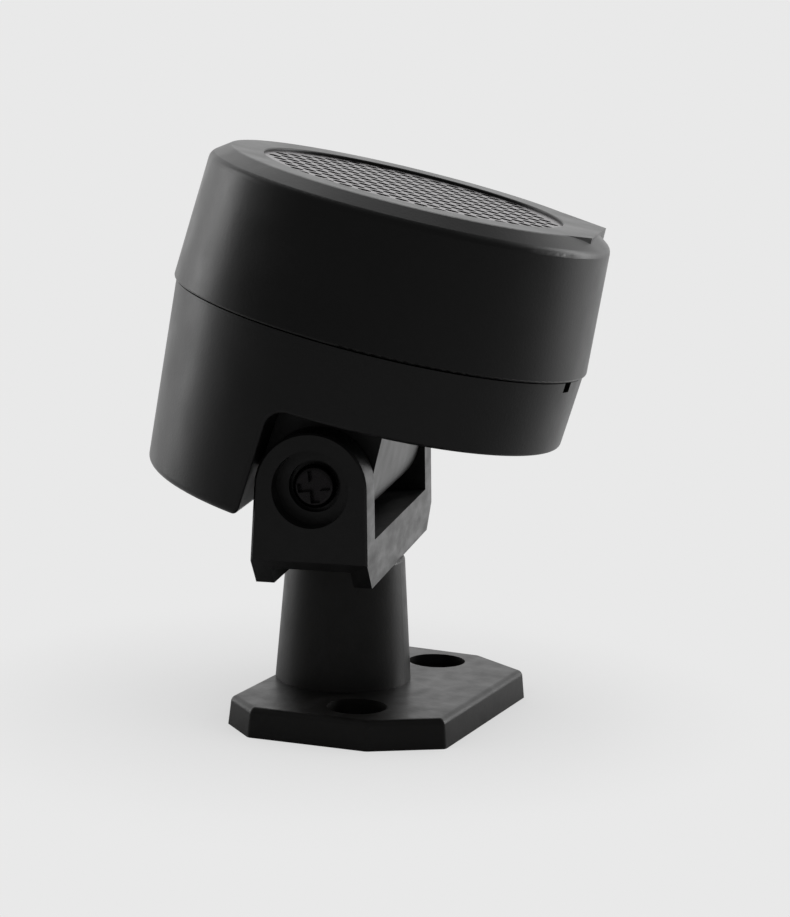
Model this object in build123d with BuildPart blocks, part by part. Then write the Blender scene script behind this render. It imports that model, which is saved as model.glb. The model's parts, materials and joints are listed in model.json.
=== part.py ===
"""Car tweeter: a round pod held in a U yoke on a screw-down pedestal.

The part's own frame has +Z up, Y along the base plate's long side, and its
origin on the mounting face, midway between the two screw holes. The pieces
are drawn in three local frames, all in millimetres, and placed at the end:
- base frame: as the part's frame, but with Z on the pedestal's axis.
- yoke frame: on the pedestal's top, turned about Z, pivot axis along Y.
- pod frame: origin on the pivot axis, +Z along the pod's own axis, towards
  the grille, and Y along the pivot axis.
"""

import os
from math import atan2, cos, degrees, radians, sin, sqrt, tan

from build123d import *

# ---------------------------------------------------------------- pose at rest
YOKE_TURN = 12.0  # yoke about the pedestal's axis
POD_TILT = 12.4  # pod axis away from vertical, about the pivot axis

# ---------------------------------------------------------------- clearances
RUNNING = 0.05  # radial clearance of a shaft that turns in its hole
SLIP = 0.1  # clearance between shells that slide together
AIR_GAP = 0.4  # voice coil to iron, each side
TRAVEL_GAP = 0.3  # free space above and below the surround's edge

# ---------------------------------------------------------------- base
PLATE_T = 3.6
PLATE_LENGTH = 40.0  # across the left corners, where it is longest
PLATE_RIGHT_LENGTH = 38.6  # across the middle corners
PLATE_LEFT = 8.7  # pedestal axis to the plate's left edge
PLATE_RIGHT = 19.4  # pedestal axis to the plate's right edge
CORNER_LEFT_X = 5.0
CORNER_LEFT_Y = 4.8
CORNER_RIGHT_X = 8.0
CORNER_RIGHT_Y = 5.4
PLATE_DRAFT = 6.0
PLATE_ROUND = 0.8
PLATE_CORNER_ROUND = 0.8
HOLE_X = 7.5  # pedestal axis to the line of the holes
HOLE_SPACING = 26.2
HOLE_R = 2.1
HOLE_SINK_R = 3.65  # straight-sided sink for a pan head
HOLE_SINK_DEPTH = 2.0
PEDESTAL_H = 19.2
PEDESTAL_FOOT_R = 8.5
PEDESTAL_TOP_R = 7.4
PEDESTAL_ROUND = 0.4
PEDESTAL_WALL = 2.4
PEDESTAL_CAP_T = 3.2

# ---------------------------------------------------------------- yoke
YOKE_LENGTH = 44.8
EAR_T = 4.9
EAR_R = 6.7  # rounded top of each ear
YOKE_HALF_WIDTH = 7.0  # at the foot of the ears
PIVOT_H = 12.0  # pivot axis above the yoke's underside
BEVEL = 3.4
CHANNEL_WIDTH = 9.6
CHANNEL_H = 2.25
SWIVEL_BOSS_R = 3.6
RECESS_R = 4.6
RECESS_DEPTH = 2.7
HEAD_WELL_R = 3.1
EAR_SEAT_T = 1.0  # ear left under the screw head
YOKE_EDGE = 0.25  # broken edge round both ends

# ---------------------------------------------------------------- fasteners
SHANK_R = 1.25
HEAD_R = 2.6
HEAD_H = 1.5
HEAD_ROUND = 0.7
TILT_SHANK = 6.6
WASHER_T = 0.3
WASHER_R = 2.5
INSERT_R = 2.1
TILT_INSERT_LENGTH = 5.0
FRICTION_T = 0.45
FRICTION_R = 4.4
SWIVEL_SHANK_R = 1.5
SWIVEL_HEAD_R = 2.8
SWIVEL_HEAD_H = 1.8
SWIVEL_WASHER_R = 3.2
SWIVEL_INSERT_R = 2.3
SWIVEL_INSERT_LENGTH = 4.4
THREAD_GAP = 0.02  # shank in its insert
CROSS_WIDTH = 1.1
CROSS_SPAN = 3.9
CROSS_DEPTH = 1.0
CROSS_TURN = 20.0

# ---------------------------------------------------------------- pod shell
SEAM_H = 17.7  # all pod heights are above the pivot axis
SHOULDER_H = 33.3
CAP_H = 34.9
CAP_SEAM_R = 26.0
SHOULDER_R = 25.05
RIM_R = 22.8
MOUTH_R = 18.7
LIP_T = 0.4
GRILLE_SEAT_R = 20.0
CAP_BORE_R = 22.9
SHOULDER_ROUND = 1.2
RIM_ROUND = 0.5
MOUTH_ROUND = 0.2
LUG_X = 23.1  # pod axis to the lug's flat end
LUG_Y = (-5.7, 10.0)  # the flat end's two corners
LUG_AZIMUTHS = (-25.0, 42.0)  # where its sides leave the rim
HOUSING_SEAM_R = 25.65
HOUSING_DRAFT = 3.9
SHALLOW_H = 8.4
DEEP_H = -5.4
HOUSING_WALL = 2.4
BOTTOM_ROUND = 1.0  # under the deep part
SHALLOW_ROUND = 0.4
NOTCH_X = 7.3  # pivot axis to the deep part's wall, at the pivot's height
NOTCH_DRAFT = 5.0
NOTCH_ROUND = 2.6
NOTCH_WEB = 1.0  # knuckle's web runs this far into the deep wall
SPIGOT_H = 3.0
SKIRT_BORE_R = 24.4
SEAM_GAP = 0.15
EDGE_ROUND = 0.3
PRY_SLOT_AZIMUTH = -15.0
PRY_SLOT_WIDTH = 1.8
PRY_SLOT_H = 1.2
PRY_SLOT_DEPTH = 0.8
KNUCKLE_R = 6.0
KNUCKLE_GAP = 0.4  # knuckle to the yoke's floor
KNUCKLE_WALL = 2.2
BOSS_LENGTH = 7.0
DEEP_WALL_X = 9.9  # pivot axis to the deep hollow

# ---------------------------------------------------------------- grille
GRILLE_T = 0.6
GRILLE_PITCH = 2.3
GRILLE_HOLE_R = 0.82
CLOTH_T = 0.25

# ---------------------------------------------------------------- drive unit
FLANGE_T = 2.65
THROAT_GAP = 0.5  # free ring outside the surround's roll
FRAME_OFFSET = 0.25  # frame body beyond halfway from the surround to the cap's bore
RETAINER_T = 2.5
RETAINER_GAP = 0.3
TOP_PLATE_T = 3.0
MAGNET_T = 6.0
MAGNET_BORE_STEP = 1.35  # magnet's bore beyond the top plate's
BACK_PLATE_T = 3.0
BACK_PLATE_STEP = 1.0  # back plate's edge inside the magnet's
FRAME_BODY_H = 2.4
COIL_R = 12.5
FORMER_T = 0.2
WINDING_T = 0.35
WINDING_H = 2.8
FORMER_DROP = 4.2  # former's lower end below the surround
DOME_RISE = 3.0
SKIN_T = 0.3
DOME_EDGE = 0.2  # dome's rim beyond the coil former
ROLL_WIDTH = 2.4
SURROUND_LAND = 1.5
FELT_R = 8.5
FELT_T = 1.2

# ---------------------------------------------------------------- wiring
BOARD_X = -13.6
BOARD_WIDTH = 12.0
BOARD_DEPTH = 6.0
BOARD_T = 1.2
TAB_SPACING = 7.0
TAB_WIDTH = 2.8
TAB_T = 0.8
TAB_LENGTH = 5.0
CAPACITOR_R = 3.6
CAPACITOR_LENGTH = 12.0
CAPACITOR_Y = -2.0
LEAD_R = 0.35
LEAD_STUB = 2.5
BEND_R = 1.2
LEAD_JOIN_H = 12.2
GROMMET_Y = 12.2
GROMMET_HOLE_R = 2.0
GROMMET_FLANGE_R = 2.8
GROMMET_FLANGE_T = 0.8
GROMMET_BORE_R = 1.2
WIRE_SPACING = 1.0
SEAT_GAP = 0.05  # small face-to-face clearance inside the pod

# ---------------------------------------------------------------- derived sizes
EAR_INNER_Y = YOKE_LENGTH / 2 - EAR_T
KNUCKLE_HALF = EAR_INNER_Y - FRICTION_T - 2 * RUNNING
FLOOR_H = PIVOT_H - KNUCKLE_R - KNUCKLE_GAP  # floor's top above the yoke's underside
HOUSING_SLOPE = tan(radians(HOUSING_DRAFT))
GRILLE_TOP = CAP_H - LIP_T
CLOTH_TOP = GRILLE_TOP - GRILLE_T
FLANGE_TOP = CLOTH_TOP - CLOTH_T
FLANGE_BOTTOM = FLANGE_TOP - FLANGE_T
UNIT_TOP = FLANGE_BOTTOM - FRAME_BODY_H
MAGNET_TOP = UNIT_TOP - TOP_PLATE_T
BACK_PLATE_TOP = MAGNET_TOP - MAGNET_T
BACK_PLATE_BOTTOM = BACK_PLATE_TOP - BACK_PLATE_T
SURROUND_H = UNIT_TOP + TRAVEL_GAP
POLE_R = COIL_R - FORMER_T - AIR_GAP
GAP_R = COIL_R + WINDING_T + AIR_GAP
SPIGOT_R = SKIRT_BORE_R - SLIP
BORE_FIT_R = CAP_BORE_R - SLIP  # discs held in the cap's bore
DOME_R = COIL_R + DOME_EDGE
ROLL_OUTER_R = DOME_R + ROLL_WIDTH
SURROUND_R = ROLL_OUTER_R + SURROUND_LAND
FORMER_BORE_R = COIL_R - FORMER_T
THROAT_R = ROLL_OUTER_R + THROAT_GAP
FRAME_BODY_R = (SURROUND_R + CAP_BORE_R) / 2 + FRAME_OFFSET
RETAINER_BORE_R = FRAME_BODY_R + RETAINER_GAP
MAGNET_BORE_R = GAP_R + MAGNET_BORE_STEP
BACK_PLATE_R = FRAME_BODY_R - BACK_PLATE_STEP
DEEP_FLOOR = DEEP_H + HOUSING_WALL
SHALLOW_FLOOR = SHALLOW_H + HOUSING_WALL
WIRE_X = BOARD_X - TAB_T / 2 - LEAD_R - SEAT_GAP  # plane of all the leads
CAPACITOR_AXIS_H = DEEP_FLOOR + CAPACITOR_R + SEAT_GAP
TAB_TOP = BACK_PLATE_BOTTOM - BOARD_T
WELL_SEAT_Y = EAR_INNER_Y + EAR_SEAT_T

BASE_PLACE = Location((-HOLE_X, 0, 0))
YOKE_PLACE = BASE_PLACE * Location((0, 0, PEDESTAL_H), (0, 0, YOKE_TURN))
POD_PLACE = YOKE_PLACE * Location((0, 0, PIVOT_H), (0, POD_TILT, 0))


def housing_r(height):
    """Outer radius of the drafted rear housing at a height in the pod frame."""
    return HOUSING_SEAM_R - (SEAM_H - height) * HOUSING_SLOPE


def end_plane(side, y):
    """Plane square to the pivot axis at y, facing outward on that side."""
    return Plane(origin=(0, side * y, 0), x_dir=(1, 0, 0), z_dir=(0, side, 0))


# ================================================================ base
with BuildPart() as base:
    with BuildSketch() as plate_outline:
        with BuildLine():
            half = PLATE_LENGTH / 2
            right_half = PLATE_RIGHT_LENGTH / 2
            Polyline(
                (-PLATE_LEFT, half - CORNER_LEFT_Y),
                (-PLATE_LEFT, -half + CORNER_LEFT_Y),
                (-PLATE_LEFT + CORNER_LEFT_X, -half),
                (PLATE_RIGHT - CORNER_RIGHT_X, -right_half),
                (PLATE_RIGHT, -right_half + CORNER_RIGHT_Y),
                (PLATE_RIGHT, right_half - CORNER_RIGHT_Y),
                (PLATE_RIGHT - CORNER_RIGHT_X, right_half),
                (-PLATE_LEFT + CORNER_LEFT_X, half),
                close=True,
            )
        make_face()
        fillet(plate_outline.vertices(), PLATE_CORNER_ROUND)
    extrude(amount=PLATE_T, taper=PLATE_DRAFT)
    fillet(base.faces().sort_by(Axis.Z)[-1].edges(), PLATE_ROUND)
    with BuildSketch(Plane.XZ):
        with BuildLine():
            Polyline(
                (0, 0),
                (PEDESTAL_FOOT_R, 0),
                (PEDESTAL_FOOT_R, PLATE_T),
                (PEDESTAL_TOP_R, PEDESTAL_H),
                (0, PEDESTAL_H),
                close=True,
            )
        make_face()
    revolve(axis=Axis.Z)
    fillet(base.faces().sort_by(Axis.Z)[-1].edges(), PEDESTAL_ROUND)
    # hollow under the pedestal, open at the mounting face
    with BuildSketch(Plane.XZ):
        with BuildLine():
            Polyline(
                (0, 0),
                (PEDESTAL_FOOT_R - PEDESTAL_WALL, 0),
                (PEDESTAL_TOP_R - PEDESTAL_WALL, PEDESTAL_H - PEDESTAL_CAP_T),
                (0, PEDESTAL_H - PEDESTAL_CAP_T),
                close=True,
            )
        make_face()
    revolve(axis=Axis.Z, mode=Mode.SUBTRACT)
    with Locations((0, 0, PEDESTAL_H)):
        Hole(SWIVEL_SHANK_R + RUNNING, depth=PEDESTAL_CAP_T)
    with Locations((HOLE_X, -HOLE_SPACING / 2, PLATE_T), (HOLE_X, HOLE_SPACING / 2, PLATE_T)):
        CounterBoreHole(HOLE_R, HOLE_SINK_R, HOLE_SINK_DEPTH)

# ================================================================ yoke
with BuildPart() as yoke:
    with BuildSketch(Plane.XZ):
        with BuildLine():
            foot = YOKE_HALF_WIDTH
            Polyline(
                (-EAR_R, PIVOT_H),
                (-foot, BEVEL),
                (-foot, 0),
                (foot, 0),
                (foot, BEVEL),
                (EAR_R, PIVOT_H),
            )
            RadiusArc((-EAR_R, PIVOT_H), (EAR_R, PIVOT_H), EAR_R)
        make_face()
    extrude(amount=YOKE_LENGTH / 2, both=True)
    chamfer(yoke.faces().sort_by(Axis.Y)[0].edges() + yoke.faces().sort_by(Axis.Y)[-1].edges(), YOKE_EDGE)
    # gap between the ears
    with BuildSketch(Plane.XY.offset(FLOOR_H)):
        Rectangle(4 * EAR_R, 2 * EAR_INNER_Y)
    extrude(amount=PIVOT_H + EAR_R, mode=Mode.SUBTRACT)
    # channel between the two rails, with the swivel boss left standing in it
    with BuildSketch():
        Rectangle(CHANNEL_WIDTH, YOKE_LENGTH)
        Circle(SWIVEL_BOSS_R, mode=Mode.SUBTRACT)
    extrude(amount=CHANNEL_H, mode=Mode.SUBTRACT)
    # bevels under both ends
    with BuildSketch(Plane.YZ):
        for side in (-1, 1):
            with BuildLine():
                end = side * YOKE_LENGTH / 2
                Polyline((end, 0), (end, BEVEL), (end - side * BEVEL, 0), close=True)
            make_face()
    extrude(amount=2 * YOKE_HALF_WIDTH, both=True, mode=Mode.SUBTRACT)
    # swivel insert's pocket and the shank's way through the floor
    with BuildSketch():
        Circle(SWIVEL_INSERT_R)
    extrude(amount=SWIVEL_INSERT_LENGTH, mode=Mode.SUBTRACT)
    with BuildSketch():
        Circle(SWIVEL_SHANK_R + RUNNING)
    extrude(amount=FLOOR_H, mode=Mode.SUBTRACT)
    # stepped well for each tilt screw
    for side in (-1, 1):
        for radius, depth in (
            (RECESS_R, RECESS_DEPTH),
            (HEAD_WELL_R, EAR_T - EAR_SEAT_T),
            (SHANK_R + RUNNING, EAR_T),
        ):
            with BuildSketch(end_plane(side, YOKE_LENGTH / 2)):
                with Locations((0, -side * PIVOT_H)):
                    Circle(radius)
            extrude(amount=-depth, mode=Mode.SUBTRACT)

# ================================================================ swivel set (yoke frame)
with BuildPart() as swivel_screw:
    head_top = -PEDESTAL_CAP_T - WASHER_T
    with BuildSketch(Plane.XY.offset(head_top - SWIVEL_HEAD_H)):
        Circle(SWIVEL_HEAD_R)
    extrude(amount=SWIVEL_HEAD_H)
    with BuildSketch(Plane.XY.offset(head_top)):
        Circle(SWIVEL_SHANK_R)
    extrude(amount=SWIVEL_INSERT_LENGTH - head_top)
    with BuildSketch(Plane.XY.offset(head_top - SWIVEL_HEAD_H)):
        Rectangle(CROSS_SPAN, CROSS_WIDTH)
        Rectangle(CROSS_WIDTH, CROSS_SPAN)
    extrude(amount=CROSS_DEPTH, mode=Mode.SUBTRACT)

with BuildPart() as swivel_washer:
    with BuildSketch(Plane.XY.offset(-PEDESTAL_CAP_T - WASHER_T)):
        Circle(SWIVEL_WASHER_R)
        Circle(SWIVEL_SHANK_R + RUNNING, mode=Mode.SUBTRACT)
    extrude(amount=WASHER_T)

with BuildPart() as swivel_insert:
    with BuildSketch():
        Circle(SWIVEL_INSERT_R - SEAT_GAP)
        Circle(SWIVEL_SHANK_R + THREAD_GAP, mode=Mode.SUBTRACT)
    extrude(amount=SWIVEL_INSERT_LENGTH)

# ================================================================ tilt set (pod frame), one of each per ear
with BuildPart() as tilt_screws:
    for side in (-1, 1):
        with BuildSketch(end_plane(side, WELL_SEAT_Y + WASHER_T)):
            Circle(HEAD_R)
        extrude(amount=HEAD_H)
        fillet(tilt_screws.faces().sort_by(Axis.Y)[-1 if side > 0 else 0].edges(), HEAD_ROUND)
        with BuildSketch(end_plane(side, WELL_SEAT_Y + WASHER_T)):
            Circle(SHANK_R)
        extrude(amount=-TILT_SHANK)
        with BuildSketch(end_plane(side, WELL_SEAT_Y + WASHER_T + HEAD_H)):
            Rectangle(CROSS_SPAN, CROSS_WIDTH, rotation=CROSS_TURN)
            Rectangle(CROSS_WIDTH, CROSS_SPAN, rotation=CROSS_TURN)
        extrude(amount=-CROSS_DEPTH, mode=Mode.SUBTRACT)


def ring_pair(inner_r, outer_r, y, thickness):
    """Two equal rings about the pivot axis, starting at y and running outward."""
    with BuildPart() as rings:
        for side in (-1, 1):
            with BuildSketch(end_plane(side, y)):
                Circle(outer_r)
                Circle(inner_r, mode=Mode.SUBTRACT)
            extrude(amount=thickness)
    return rings


tilt_washers = ring_pair(SHANK_R + RUNNING, WASHER_R, WELL_SEAT_Y, WASHER_T)
friction_washers = ring_pair(SHANK_R + RUNNING, FRICTION_R, KNUCKLE_HALF + RUNNING, FRICTION_T)
tilt_inserts = ring_pair(
    SHANK_R + THREAD_GAP, INSERT_R, KNUCKLE_HALF - TILT_INSERT_LENGTH, TILT_INSERT_LENGTH
)

# ================================================================ pod shell (pod frame)
with BuildPart() as front_cap:
    with BuildSketch(Plane.XZ) as cap_profile:
        with BuildLine():
            Polyline(
                (SKIRT_BORE_R, SEAM_H),
                (CAP_SEAM_R, SEAM_H),
                (SHOULDER_R, SHOULDER_H),
                (RIM_R, CAP_H),
                (MOUTH_R, CAP_H),
                (MOUTH_R, GRILLE_TOP),
                (GRILLE_SEAT_R, GRILLE_TOP),
                (GRILLE_SEAT_R, CLOTH_TOP),
                (CAP_BORE_R, CLOTH_TOP),
                (CAP_BORE_R, SEAM_H + SPIGOT_H + SLIP),
                (SKIRT_BORE_R, SEAM_H + SPIGOT_H + SLIP),
                close=True,
            )
        make_face()
        for corner, radius in (
            ((SHOULDER_R, SHOULDER_H), SHOULDER_ROUND),
            ((RIM_R, CAP_H), RIM_ROUND),
            ((MOUTH_R, CAP_H), MOUTH_ROUND),
            ((CAP_SEAM_R, SEAM_H), EDGE_ROUND),
        ):
            fillet(cap_profile.vertices().sort_by_distance(corner)[0], radius)
    revolve(axis=Axis.Z)
    # lug: two straight sides run out from the rim to a flat end over the bevel
    near, far = (
        (RIM_R * cos(radians(azimuth)), RIM_R * sin(radians(azimuth))) for azimuth in LUG_AZIMUTHS
    )
    for bottom, top, inner_r in ((SHOULDER_H, CLOTH_TOP, CAP_BORE_R), (CLOTH_TOP, CAP_H, GRILLE_SEAT_R)):
        with BuildSketch(Plane.XY.offset(bottom)):
            with BuildLine():
                Polyline((0, 0), near, (LUG_X, LUG_Y[0]), (LUG_X, LUG_Y[1]), far, close=True)
            make_face()
            Circle(inner_r, mode=Mode.SUBTRACT)
        extrude(amount=top - bottom)

with BuildPart() as rear_housing:
    top = SEAM_H - SEAM_GAP
    with BuildSketch(Plane.XZ):
        with BuildLine():
            Polyline(
                (0, DEEP_H),
                (housing_r(DEEP_H), DEEP_H),
                (housing_r(top), top),
                (SPIGOT_R, top),
                (SPIGOT_R, SEAM_H + SPIGOT_H),
                (0, SEAM_H + SPIGOT_H),
                close=True,
            )
        make_face()
    revolve(axis=Axis.Z)
    # notch for the yoke: everything right of the drafted wall, below the shallow bottom
    with BuildSketch(Plane.XZ) as notch:
        slope = tan(radians(NOTCH_DRAFT))
        below = DEEP_H - HOUSING_WALL
        with BuildLine():
            Polyline(
                (-NOTCH_X + below * slope, below),
                (-NOTCH_X + SHALLOW_H * slope, SHALLOW_H),
                (CAP_SEAM_R, SHALLOW_H),
                (CAP_SEAM_R, below),
                close=True,
            )
        make_face()
        corner = (-NOTCH_X + SHALLOW_H * slope, SHALLOW_H)
        fillet(notch.vertices().sort_by_distance(corner)[0], NOTCH_ROUND)
    extrude(amount=CAP_SEAM_R, both=True, mode=Mode.SUBTRACT)
    fillet(rear_housing.faces().sort_by(Axis.Z)[0].edges(), BOTTOM_ROUND)
    rims = rear_housing.edges().filter_by(GeomType.CIRCLE).filter_by_position(
        Axis.Z, SHALLOW_H - SLIP, SHALLOW_H + SLIP
    )
    fillet(rims, SHALLOW_ROUND)
    # hollow behind the drive unit
    with BuildSketch(Plane.XZ):
        with BuildLine():
            Polyline(
                (0, SHALLOW_FLOOR),
                (housing_r(SHALLOW_FLOOR) - HOUSING_WALL, SHALLOW_FLOOR),
                (housing_r(SEAM_H) - HOUSING_WALL, SEAM_H),
                (housing_r(SEAM_H) - HOUSING_WALL, SEAM_H + SPIGOT_H),
                (0, SEAM_H + SPIGOT_H),
                close=True,
            )
        make_face()
    revolve(axis=Axis.Z, mode=Mode.SUBTRACT)
    # deep hollow beside the notch
    with BuildSketch(Plane.XY.offset(DEEP_FLOOR)):
        Circle(housing_r(DEEP_FLOOR) - HOUSING_WALL)
        with Locations((-DEEP_WALL_X + CAP_SEAM_R, 0)):
            Rectangle(2 * CAP_SEAM_R, 2 * CAP_SEAM_R, mode=Mode.SUBTRACT)
    extrude(amount=SHALLOW_FLOOR - DEEP_FLOOR, mode=Mode.SUBTRACT)
    # knuckle between the ears, joined to the roof and to the deep wall, cored out from inside
    with BuildSketch(Plane.XZ):
        Circle(KNUCKLE_R)
        with Locations((KNUCKLE_R, 0)):
            Rectangle(KNUCKLE_R + NOTCH_X + NOTCH_WEB, SHALLOW_H, align=(Align.MAX, Align.MIN))
    extrude(amount=KNUCKLE_HALF, both=True)
    core_floor = KNUCKLE_WALL - KNUCKLE_R
    with BuildSketch(Plane.XY.offset(core_floor)):
        Rectangle(2 * (KNUCKLE_R - KNUCKLE_WALL), 2 * (KNUCKLE_HALF - BOSS_LENGTH))
    extrude(amount=SHALLOW_FLOOR - core_floor, mode=Mode.SUBTRACT)
    # insert pockets in the knuckle's two ends
    for side in (-1, 1):
        with BuildSketch(end_plane(side, KNUCKLE_HALF)):
            Circle(INSERT_R + SEAT_GAP)
        extrude(amount=-TILT_INSERT_LENGTH, mode=Mode.SUBTRACT)
    # cable outlet in the deep floor
    with BuildSketch(Plane.XY.offset(DEEP_H)):
        with Locations((WIRE_X, GROMMET_Y)):
            Circle(GROMMET_HOLE_R + SEAT_GAP)
    extrude(amount=HOUSING_WALL, mode=Mode.SUBTRACT)
    # pry slot just below the seam
    with BuildSketch(Plane.XY.offset(top)):
        with PolarLocations(housing_r(top), 1, PRY_SLOT_AZIMUTH):
            Rectangle(2 * PRY_SLOT_DEPTH, PRY_SLOT_WIDTH)
    extrude(amount=-PRY_SLOT_H, mode=Mode.SUBTRACT)


def disc(bottom, thickness, outer_r, inner_r=0):
    """Flat disc or ring about the pod's axis."""
    with BuildPart() as piece:
        with BuildSketch(Plane.XY.offset(bottom)):
            Circle(outer_r)
            if inner_r:
                Circle(inner_r, mode=Mode.SUBTRACT)
        extrude(amount=thickness)
    return piece


# ================================================================ grille (pod frame)
ROW_STEP = GRILLE_PITCH * sqrt(3) / 2
HOLE_LIMIT = MOUTH_R - GRILLE_HOLE_R - EDGE_ROUND


def grille_holes():
    """Centres of the staggered holes that fit inside the mouth."""
    reach = int(MOUTH_R / ROW_STEP) + 1
    for row in range(-reach, reach + 1):
        for column in range(-reach, reach + 1):
            x = (column + row % 2 / 2) * GRILLE_PITCH
            y = row * ROW_STEP
            if sqrt(x * x + y * y) < HOLE_LIMIT:
                yield x, y


with BuildPart() as grille:
    with BuildSketch(Plane.XY.offset(CLOTH_TOP)):
        Circle(GRILLE_SEAT_R - SLIP)
        with Locations(*grille_holes()):
            Circle(GRILLE_HOLE_R, mode=Mode.SUBTRACT)
    extrude(amount=GRILLE_T)

grille_cloth = disc(FLANGE_TOP, CLOTH_T, BORE_FIT_R)

# ================================================================ drive unit (pod frame)
with BuildPart() as driver_frame:
    pocket_top = SURROUND_H + SKIN_T + TRAVEL_GAP
    with BuildSketch(Plane.XZ):
        with BuildLine():
            Polyline(
                (SURROUND_R + TRAVEL_GAP, UNIT_TOP),
                (FRAME_BODY_R, UNIT_TOP),
                (FRAME_BODY_R, FLANGE_BOTTOM),
                (BORE_FIT_R, FLANGE_BOTTOM),
                (BORE_FIT_R, FLANGE_TOP),
                (MOUTH_R, FLANGE_TOP),
                (THROAT_R, pocket_top),
                (SURROUND_R + TRAVEL_GAP, pocket_top),
                close=True,
            )
        make_face()
    revolve(axis=Axis.Z)

retainer_ring = disc(FLANGE_BOTTOM - RETAINER_T, RETAINER_T, CAP_BORE_R - THREAD_GAP, RETAINER_BORE_R)
top_plate = disc(MAGNET_TOP, TOP_PLATE_T, FRAME_BODY_R, GAP_R)
magnet = disc(BACK_PLATE_TOP, MAGNET_T, FRAME_BODY_R, MAGNET_BORE_R)

with BuildPart() as pole_plate:
    with BuildSketch(Plane.XY.offset(BACK_PLATE_BOTTOM)):
        Circle(BACK_PLATE_R)
    extrude(amount=BACK_PLATE_T)
    with BuildSketch(Plane.XY.offset(BACK_PLATE_TOP)):
        Circle(POLE_R)
    extrude(amount=UNIT_TOP - BACK_PLATE_TOP)

pole_felt = disc(UNIT_TOP, FELT_T, FELT_R)

with BuildPart() as dome:
    sphere_r = (DOME_R**2 + DOME_RISE**2) / (2 * DOME_RISE)
    centre_h = SURROUND_H + DOME_RISE - sphere_r
    rim_h = SURROUND_H - centre_h
    inner_rim_r = sqrt((sphere_r - SKIN_T) ** 2 - rim_h**2)
    outer_angle = degrees(atan2(rim_h, DOME_R))
    inner_angle = degrees(atan2(rim_h, inner_rim_r))
    with BuildSketch(Plane.XZ):
        with BuildLine():
            CenterArc((0, centre_h), sphere_r, outer_angle, 90 - outer_angle)
            CenterArc((0, centre_h), sphere_r - SKIN_T, inner_angle, 90 - inner_angle)
            Line((0, SURROUND_H + DOME_RISE - SKIN_T), (0, SURROUND_H + DOME_RISE))
            Line((inner_rim_r, SURROUND_H), (DOME_R, SURROUND_H))
        make_face()
    revolve(axis=Axis.Z)

with BuildPart() as surround:
    with BuildSketch(Plane.XZ):
        with BuildLine():
            roll_r = ROLL_WIDTH / 2
            roll_x = DOME_R + roll_r
            CenterArc((roll_x, SURROUND_H), roll_r, 0, 180)
            CenterArc((roll_x, SURROUND_H), roll_r - SKIN_T, 0, 180)
            Line((DOME_R, SURROUND_H), (DOME_R + SKIN_T, SURROUND_H))
            Line((ROLL_OUTER_R - SKIN_T, SURROUND_H), (ROLL_OUTER_R, SURROUND_H))
        make_face()
        with Locations(((ROLL_OUTER_R - SKIN_T + SURROUND_R) / 2, SURROUND_H + SKIN_T / 2)):
            Rectangle(SURROUND_R - ROLL_OUTER_R + SKIN_T, SKIN_T)
    revolve(axis=Axis.Z)

coil_former = disc(SURROUND_H - FORMER_DROP, FORMER_DROP, COIL_R, FORMER_BORE_R)
WINDING_BOTTOM = MAGNET_TOP + (TOP_PLATE_T - WINDING_H) / 2
coil_winding = disc(WINDING_BOTTOM, WINDING_H, COIL_R + WINDING_T, COIL_R)

# ================================================================ wiring (pod frame)
with BuildPart() as terminal_board:
    with BuildSketch(Plane.XY.offset(TAB_TOP)):
        with Locations((BOARD_X, 0)):
            Rectangle(BOARD_DEPTH, BOARD_WIDTH)
    extrude(amount=BOARD_T)

with BuildPart() as terminal_tabs:
    with BuildSketch(Plane.XY.offset(TAB_TOP)):
        with Locations((BOARD_X, -TAB_SPACING / 2), (BOARD_X, TAB_SPACING / 2)):
            Rectangle(TAB_T, TAB_WIDTH)
    extrude(amount=-TAB_LENGTH)

with BuildPart() as capacitor:
    CAPACITOR_CENTRE = Plane((WIRE_X, CAPACITOR_Y, CAPACITOR_AXIS_H), x_dir=(1, 0, 0), z_dir=(0, 1, 0))
    with BuildSketch(CAPACITOR_CENTRE):
        Circle(CAPACITOR_R)
    extrude(amount=CAPACITOR_LENGTH / 2, both=True)
    fillet(capacitor.edges().filter_by(GeomType.CIRCLE), EDGE_ROUND)


def wires(*routes):
    """Round wires, each along points (y, height) in the plane of the leads."""
    with BuildPart() as piece:
        for route in routes:
            points = [(WIRE_X, y, height) for y, height in route]
            with BuildLine() as path:
                if len(points) > 2:
                    FilletPolyline(*points, radius=BEND_R)
                else:
                    Line(*points)
            with BuildSketch(Plane(origin=path.line @ 0, z_dir=path.line % 0)):
                Circle(LEAD_R)
            sweep(path=path.line)
    return piece


near_end = CAPACITOR_Y - CAPACITOR_LENGTH / 2 - SEAT_GAP
far_end = CAPACITOR_Y + CAPACITOR_LENGTH / 2 + SEAT_GAP
splice_y = far_end + LEAD_STUB
outlet_h = DEEP_H + GROMMET_FLANGE_T
capacitor_leads = wires(
    (
        (near_end, CAPACITOR_AXIS_H),
        (near_end - LEAD_STUB, CAPACITOR_AXIS_H),
        (near_end - LEAD_STUB, LEAD_JOIN_H),
        (-TAB_SPACING / 2, LEAD_JOIN_H),
    ),
    ((far_end, CAPACITOR_AXIS_H), (splice_y, CAPACITOR_AXIS_H)),
)
live_y = GROMMET_Y - WIRE_SPACING / 2
return_y = GROMMET_Y + WIRE_SPACING / 2
input_wires = wires(
    ((live_y, outlet_h), (live_y, CAPACITOR_AXIS_H), (splice_y + SEAT_GAP, CAPACITOR_AXIS_H)),
    ((return_y, outlet_h), (return_y, LEAD_JOIN_H), (TAB_SPACING / 2, LEAD_JOIN_H)),
)

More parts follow.
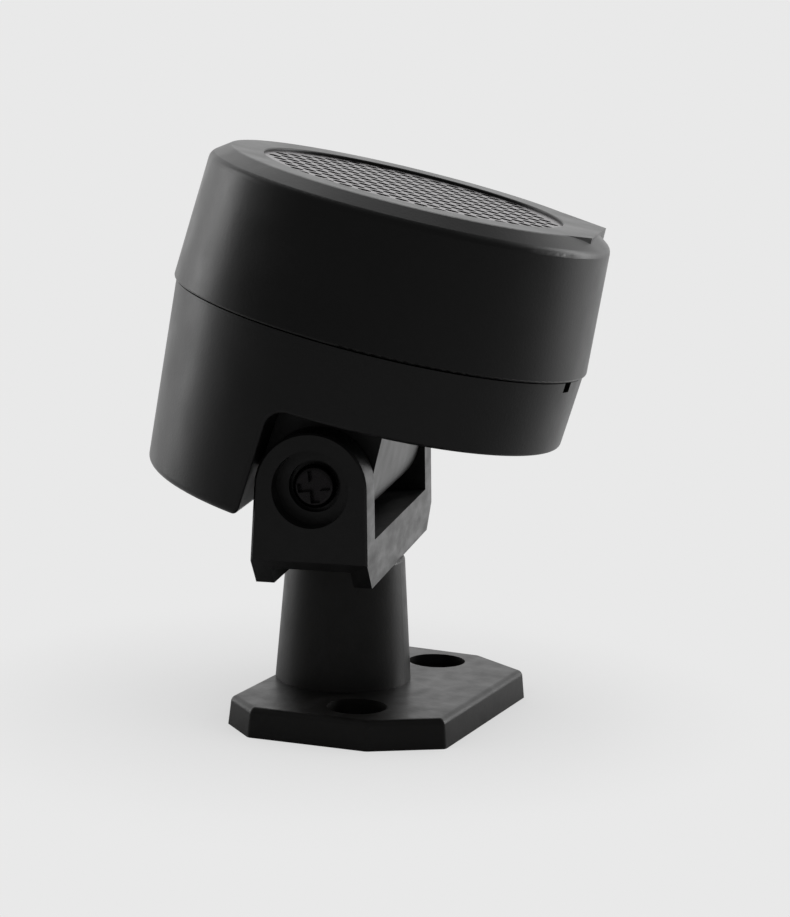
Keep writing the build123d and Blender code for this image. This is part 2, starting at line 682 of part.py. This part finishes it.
with BuildPart() as cable_grommet:
    for bottom, thickness, radius in (
        (DEEP_H - GROMMET_FLANGE_T, GROMMET_FLANGE_T, GROMMET_FLANGE_R),
        (DEEP_H, HOUSING_WALL, GROMMET_HOLE_R),
        (DEEP_FLOOR, GROMMET_FLANGE_T, GROMMET_FLANGE_R),
    ):
        with BuildSketch(Plane.XY.offset(bottom)):
            with Locations((WIRE_X, GROMMET_Y)):
                Circle(radius)
        extrude(amount=thickness)
    with BuildSketch(Plane.XY.offset(DEEP_H - GROMMET_FLANGE_T)):
        with Locations((WIRE_X, GROMMET_Y)):
            Circle(GROMMET_BORE_R)
    extrude(amount=HOUSING_WALL + 2 * GROMMET_FLANGE_T, mode=Mode.SUBTRACT)

# ================================================================ write every piece in the part's frame
BASE_PIECES = {"pedestal_base": base}
YOKE_PIECES = {
    "yoke": yoke,
    "swivel_screw": swivel_screw,
    "swivel_washer": swivel_washer,
    "swivel_insert": swivel_insert,
}
POD_PIECES = {
    "tilt_screws": tilt_screws,
    "tilt_washers": tilt_washers,
    "friction_washers": friction_washers,
    "tilt_inserts": tilt_inserts,
    "front_cap": front_cap,
    "rear_housing": rear_housing,
    "grille": grille,
    "grille_cloth": grille_cloth,
    "driver_frame": driver_frame,
    "retainer_ring": retainer_ring,
    "top_plate": top_plate,
    "magnet": magnet,
    "pole_plate": pole_plate,
    "pole_felt": pole_felt,
    "dome": dome,
    "surround": surround,
    "coil_former": coil_former,
    "coil_winding": coil_winding,
    "terminal_board": terminal_board,
    "terminal_tabs": terminal_tabs,
    "capacitor": capacitor,
    "capacitor_leads": capacitor_leads,
    "input_wires": input_wires,
    "cable_grommet": cable_grommet,
}

os.makedirs("parts", exist_ok=True)
for place, pieces in (
    (BASE_PLACE, BASE_PIECES),
    (YOKE_PLACE, YOKE_PIECES),
    (POD_PLACE, POD_PIECES),
):
    for label, piece in pieces.items():
        placed = place * piece.part
        placed.label = label
        export_step(placed, f"parts/{label}.step")
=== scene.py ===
"""Finishes, light and camera for the car tweeter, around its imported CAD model.

Lengths are in metres in the part's own frame: +Z up out of the mounting face, Y along the base
plate, and the origin between the plate's two holes. Colours are sRGB hex values.
"""

import json
import math

import bpy
from mathutils import Matrix, Vector

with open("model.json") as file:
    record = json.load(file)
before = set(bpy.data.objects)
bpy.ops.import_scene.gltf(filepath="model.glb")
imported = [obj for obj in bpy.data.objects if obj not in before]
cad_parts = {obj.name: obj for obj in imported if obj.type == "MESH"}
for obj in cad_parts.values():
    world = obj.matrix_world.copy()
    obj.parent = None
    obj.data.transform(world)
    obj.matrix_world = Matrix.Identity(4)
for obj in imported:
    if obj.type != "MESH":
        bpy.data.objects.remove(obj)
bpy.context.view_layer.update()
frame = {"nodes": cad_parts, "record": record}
nodes = frame["nodes"]

MM = 0.001


# ---------------------------------------------------------------- helpers
def linear(hex_colour):
    """Linear RGBA of an sRGB hex colour."""
    channels = []
    for start in (1, 3, 5):
        value = int(hex_colour[start : start + 2], 16) / 255
        channels.append(value / 12.92 if value <= 0.04045 else ((value + 0.055) / 1.055) ** 2.4)
    return (*channels, 1)


def add(tree, kind, inputs=None, **settings):
    """Adds a node. Settings are its properties; inputs are its sockets' values or what links to them."""
    made = tree.nodes.new(kind)
    for name, value in settings.items():
        setattr(made, name, value)
    for socket, value in (inputs or {}).items():
        if isinstance(value, bpy.types.NodeSocket):
            tree.links.new(value, made.inputs[socket])
        else:
            made.inputs[socket].default_value = value
    return made


def new_material(name):
    """An empty node material and its tree."""
    made = bpy.data.materials.new(name)
    made.use_nodes = True
    made.node_tree.nodes.clear()
    return made, made.node_tree


def place(tree):
    """Where a point is on its own piece, in metres: a piece's pattern moves with it."""
    return add(tree, "ShaderNodeTexCoord").outputs["Object"]


def noise(tree, size, detail=2.0, roughness=0.5, stretch=1.0):
    """Noise whose blotches are about size metres across, and stretch times as long along Y."""
    drawn_out = add(
        tree, "ShaderNodeVectorMath", {0: place(tree), 1: (1, 1 / stretch, 1)}, operation="MULTIPLY"
    )
    inputs = {"Vector": drawn_out.outputs[0], "Scale": 1 / size, "Detail": detail, "Roughness": roughness}
    return add(tree, "ShaderNodeTexNoise", inputs).outputs["Fac"]


def between(tree, factor, low, high):
    """Carries a 0 to 1 pattern over to low to high, from its middle half."""
    inputs = {"Value": factor, "From Min": 0.3, "From Max": 0.7, "To Min": low, "To Max": high}
    return add(tree, "ShaderNodeMapRange", inputs).outputs["Result"]


def mixed(tree, factor, first, second):
    """First colour where factor is 0, second where it is 1."""
    inputs = {"Factor": factor, "A": linear(first), "B": linear(second)}
    return add(tree, "ShaderNodeMix", inputs, data_type="RGBA")


def finish_surface(tree, surface):
    add(tree, "ShaderNodeOutputMaterial", {"Surface": surface.outputs[0]})


# ---------------------------------------------------------------- camera
CAMERA_AT = Vector((124.33, -308.00, 87.36)) * MM
CAMERA_YAW = math.radians(-22.17)
CAMERA_PITCH = math.radians(-9.47)
CAMERA_ROLL = math.radians(1.39)
LENS_MM = 107.37
SENSOR_MM = 36.0


def build_camera():
    data = bpy.data.cameras.new("camera")
    data.sensor_fit = "VERTICAL"
    data.sensor_height = SENSOR_MM
    data.sensor_width = SENSOR_MM
    data.lens = LENS_MM
    data.clip_start = 0.01
    data.clip_end = 20
    sideways = math.cos(CAMERA_PITCH)
    ahead = Vector(
        (math.sin(CAMERA_YAW) * sideways, math.cos(CAMERA_YAW) * sideways, math.sin(CAMERA_PITCH))
    )
    right = Vector((math.cos(CAMERA_YAW), -math.sin(CAMERA_YAW), 0))
    up = right.cross(ahead)
    rolled_right = math.cos(CAMERA_ROLL) * right + math.sin(CAMERA_ROLL) * up
    rolled_up = math.cos(CAMERA_ROLL) * up - math.sin(CAMERA_ROLL) * right
    turned = Matrix((rolled_right, rolled_up, -ahead)).transposed()
    camera = bpy.data.objects.new("camera", data)
    camera.matrix_world = Matrix.Translation(CAMERA_AT) @ turned.to_4x4()
    bpy.context.scene.collection.objects.link(camera)
    bpy.context.scene.camera = camera
    return ahead


AHEAD = build_camera()
BEHIND = Vector((AHEAD.x, AHEAD.y, 0)).normalized()  # away from the camera, level
RIGHT = Vector((BEHIND.y, -BEHIND.x, 0))

# ---------------------------------------------------------------- studio
PALE = "#e9e9e9"
BACKDROP_IN_GLOSS = "#ffffff"
DARK_ROOM = "#606060"
FLOOR_RADIUS = 1.6
FLOOR_PALE = (-0.02, 0.1)  # the floor turns pale in gloss between these, measured away from the camera
SHADOW = "#bdbdbd"  # under and beside the object
SHADOW_REACH = 0.045
MIDDLE = Vector((0, 0, 0.035))
BACKDROP_SPREAD = (0.15, 0.75)  # the backdrop comes in between these cosines from straight behind
FLOOR_STEPS = 96
PAPER = "#d8d8d8"


def seen_pale(tree):
    """1 for the rays that show the backdrop: those from the camera, in gloss and through glass."""
    path = add(tree, "ShaderNodeLightPath")
    mirrored = add(
        tree,
        "ShaderNodeMath",
        {0: path.outputs["Is Glossy Ray"], 1: path.outputs["Is Transmission Ray"]},
        operation="MAXIMUM",
    )
    return path.outputs["Is Camera Ray"], mirrored.outputs[0]


def build_world():
    """Pale backdrop behind the object, and a dark room on the camera's side for gloss and fill."""
    world = bpy.data.worlds.new("studio")
    bpy.context.scene.world = world
    world.use_nodes = True
    tree = world.node_tree
    tree.nodes.clear()
    camera_ray, mirrored = seen_pale(tree)
    direction = add(tree, "ShaderNodeTexCoord").outputs["Generated"]
    side = add(tree, "ShaderNodeVectorMath", {0: direction, 1: BEHIND}, operation="DOT_PRODUCT")
    behind = add(
        tree,
        "ShaderNodeMapRange",
        {"Value": side.outputs["Value"], "From Min": BACKDROP_SPREAD[0], "From Max": BACKDROP_SPREAD[1]},
        interpolation_type="SMOOTHSTEP",
    )
    in_gloss = add(tree, "ShaderNodeMath", {0: mirrored, 1: behind.outputs[0]}, operation="MULTIPLY")
    studio = mixed(tree, in_gloss.outputs[0], DARK_ROOM, BACKDROP_IN_GLOSS)
    colour = add(
        tree,
        "ShaderNodeMix",
        {"Factor": camera_ray, "A": studio.outputs["Result"], "B": linear(PALE)},
        data_type="RGBA",
    )
    background = add(tree, "ShaderNodeBackground", {"Color": colour.outputs["Result"], "Strength": 1.0})
    add(tree, "ShaderNodeOutputWorld", {"Surface": background.outputs[0]})


def build_floor():
    """Pale paper floor that runs into the backdrop: soft contact shadow, and pale in gloss only behind."""
    mesh = bpy.data.meshes.new("floor")
    turns = [math.tau * step / FLOOR_STEPS for step in range(FLOOR_STEPS)]
    ring = [(FLOOR_RADIUS * math.cos(turn), FLOOR_RADIUS * math.sin(turn), 0) for turn in turns]
    mesh.from_pydata(ring, [], [list(range(FLOOR_STEPS))])
    floor = bpy.data.objects.new("floor", mesh)
    bpy.context.scene.collection.objects.link(floor)
    made, tree = new_material("paper floor, matt")
    camera_ray, mirrored = seen_pale(tree)
    along = add(tree, "ShaderNodeVectorMath", {0: place(tree), 1: BEHIND}, operation="DOT_PRODUCT")
    behind = add(
        tree,
        "ShaderNodeMapRange",
        {"Value": along.outputs["Value"], "From Min": FLOOR_PALE[0], "From Max": FLOOR_PALE[1]},
        interpolation_type="SMOOTHSTEP",
    )
    in_gloss = add(tree, "ShaderNodeMath", {0: mirrored, 1: behind.outputs[0]}, operation="MULTIPLY")
    amount = add(tree, "ShaderNodeMath", {0: camera_ray, 1: in_gloss.outputs[0]}, operation="MAXIMUM")
    open_sky = add(tree, "ShaderNodeAmbientOcclusion", {"Distance": SHADOW_REACH}, samples=16)
    shaded = mixed(tree, open_sky.outputs["AO"], SHADOW, PALE)
    paper = add(tree, "ShaderNodeBsdfDiffuse", {"Color": linear(PAPER)})
    pale = add(tree, "ShaderNodeEmission", {"Color": shaded.outputs["Result"], "Strength": 1.0})
    both = add(tree, "ShaderNodeMixShader", {0: amount.outputs[0], 1: paper.outputs[0], 2: pale.outputs[0]})
    finish_surface(tree, both)
    mesh.materials.append(made)


def build_lamp(name, at, width, height, watts):
    """A soft box that faces the object. at is right, behind and up from the object's middle."""
    data = bpy.data.lights.new(name, "AREA")
    data.shape = "RECTANGLE"
    data.size = width
    data.size_y = height
    data.energy = watts
    lamp = bpy.data.objects.new(name, data)
    centre = MIDDLE + at[0] * RIGHT + at[1] * BEHIND + Vector((0, 0, at[2]))
    facing = (centre - MIDDLE).to_track_quat("Z", "Y").to_matrix().to_4x4()
    lamp.matrix_world = Matrix.Translation(centre) @ facing
    bpy.context.scene.collection.objects.link(lamp)


build_world()
build_floor()
build_lamp("soft box overhead", (0.0, 0.35, 0.7), 0.6, 0.6, 0.9)
build_lamp("strip box left", (-0.6, 0.3, 0.1), 0.2, 0.7, 1.1)
build_lamp("strip box right", (0.6, 0.3, 0.1), 0.2, 0.7, 1.9)

view = bpy.context.scene.view_settings
view.view_transform = "Standard"


# ---------------------------------------------------------------- finishes
PLASTIC_IOR = 1.5
METAL_UNEVEN = 0.06  # how far a metal's roughness strays to each side


def moulded_plastic(name, dark, light, roughness, grain, depth, cloud=5 * MM, uneven=0.04, stretch=1.0):
    """Plastic off a spark-eroded tool: a soft sheen from fine even pits, and a faint cloudiness.

    The real pits are under 0.1 mm, and are drawn at a few tenths so that they show.
    """
    made, tree = new_material(name)
    clouds = noise(tree, cloud, detail=4, stretch=stretch)
    pits = noise(tree, grain, detail=3, roughness=0.6)
    colour = mixed(tree, clouds, dark, light)
    bump = add(tree, "ShaderNodeBump", {"Height": pits, "Distance": depth, "Strength": 1.0})
    surface = add(
        tree,
        "ShaderNodeBsdfPrincipled",
        {
            "Base Color": colour.outputs["Result"],
            "Roughness": between(tree, clouds, roughness - uneven, roughness + uneven),
            "IOR": PLASTIC_IOR,
            "Normal": bump.outputs[0],
        },
    )
    finish_surface(tree, surface)
    return made


def plain_metal(name, dark, light, roughness, grain=0.3 * MM, depth=0.004 * MM):
    """Plated, rolled or turned metal: a mirror softened by small changes in tone and polish."""
    made, tree = new_material(name)
    tone = noise(tree, grain, detail=3)
    bump = add(tree, "ShaderNodeBump", {"Height": tone, "Distance": depth, "Strength": 1.0})
    surface = add(
        tree,
        "ShaderNodeBsdfPrincipled",
        {
            "Base Color": mixed(tree, tone, dark, light).outputs["Result"],
            "Metallic": 1.0,
            "Roughness": between(tree, tone, roughness - METAL_UNEVEN, roughness + METAL_UNEVEN),
            "Normal": bump.outputs[0],
        },
    )
    finish_surface(tree, surface)
    return made


# by the record's slot: dark satin shells and a dull metal grille outside, and inside bright
# plated metal, bare brass and copper, matt ferrite, felt and cloth, and glossy wrapped film
FINISHES = {
    "moulded_black": moulded_plastic("ABS moulded", "#141415", "#191919", 0.37, 0.35 * MM, 0.015 * MM),
    "cap_black": moulded_plastic("ABS moulded satin", "#131313", "#171717", 0.36, 0.35 * MM, 0.012 * MM),
    "grille_steel": plain_metal("steel black nickel plated", "#686567", "#7a7678", 0.3, 0.4 * MM, 0.003 * MM),
    "screw_steel": plain_metal("steel black oxide", "#2c2b2c", "#403e3f", 0.26),
    "zinc_steel": plain_metal("steel zinc plated", "#a9abb0", "#c4c6ca", 0.3),
    "brass": plain_metal("brass turned", "#b08d4a", "#cfae68", 0.28),
    "nylon": moulded_plastic("nylon moulded", "#cfcabb", "#dcd8ca", 0.45, 0.3 * MM, 0.01 * MM),
    "cloth": moulded_plastic("polyester scrim", "#060606", "#0c0c0c", 0.8, 0.3 * MM, 0.05 * MM),
    "frame_plastic": moulded_plastic("polycarbonate moulded", "#161617", "#1b1b1c", 0.4, 0.3 * MM, 0.01 * MM),
    "ferrite": moulded_plastic("ferrite sintered", "#3a3a3c", "#454547", 0.6, 0.2 * MM, 0.02 * MM),
    "felt": moulded_plastic("wool felt", "#77756f", "#8a8880", 0.95, 0.25 * MM, 0.08 * MM),
    "silk": moulded_plastic("silk coated", "#1a1918", "#242220", 0.55, 0.25 * MM, 0.03 * MM),
    "former_aluminium": plain_metal("aluminium rolled", "#c8c9cb", "#dcdddf", 0.35),
    "copper": plain_metal("copper enamelled", "#9a4a22", "#b8653a", 0.3),
    "fibre_board": moulded_plastic("phenolic board", "#5a3a22", "#6b4629", 0.5, 0.3 * MM, 0.01 * MM),
    "tin_brass": plain_metal("brass tinned", "#b9b6aa", "#cdcabf", 0.3),
    "film_capacitor": moulded_plastic("polyester wrapped", "#8a4a1c", "#96531f", 0.25, 0.5 * MM, 0.005 * MM),
    "wire_insulation": moulded_plastic("PVC extruded", "#2a2a2a", "#333333", 0.45, 0.3 * MM, 0.01 * MM),
    "grommet_rubber": moulded_plastic("rubber moulded", "#181818", "#1e1e1e", 0.6, 0.3 * MM, 0.02 * MM),
}


# the base and the yoke come off a coarser tool than the pod: their flats look mottled at a low angle,
# and the yoke's marks are drawn out along its length
COARSE_FINISHES = {
    "yoke": moulded_plastic(
        "ABS moulded mottled", "#141414", "#1c1c1c", 0.38, 0.5 * MM, 0.02 * MM, 1.6 * MM, 0.08, stretch=4.0
    ),
    "pedestal_base": moulded_plastic(
        "ABS moulded coarse", "#151413", "#1e1d1b", 0.4, 0.5 * MM, 0.015 * MM, cloud=2.4 * MM, uneven=0.06
    ),
}


def dress_cad_nodes():
    """Gives every CAD node the finish that the record names for it."""
    for subpart in frame["record"]["subparts"]:
        piece = nodes[subpart["node"]]
        finish = COARSE_FINISHES.get(subpart["node"], FINISHES[subpart["material_slot"]])
        piece.data.materials.clear()
        piece.data.materials.append(finish)


dress_cad_nodes()
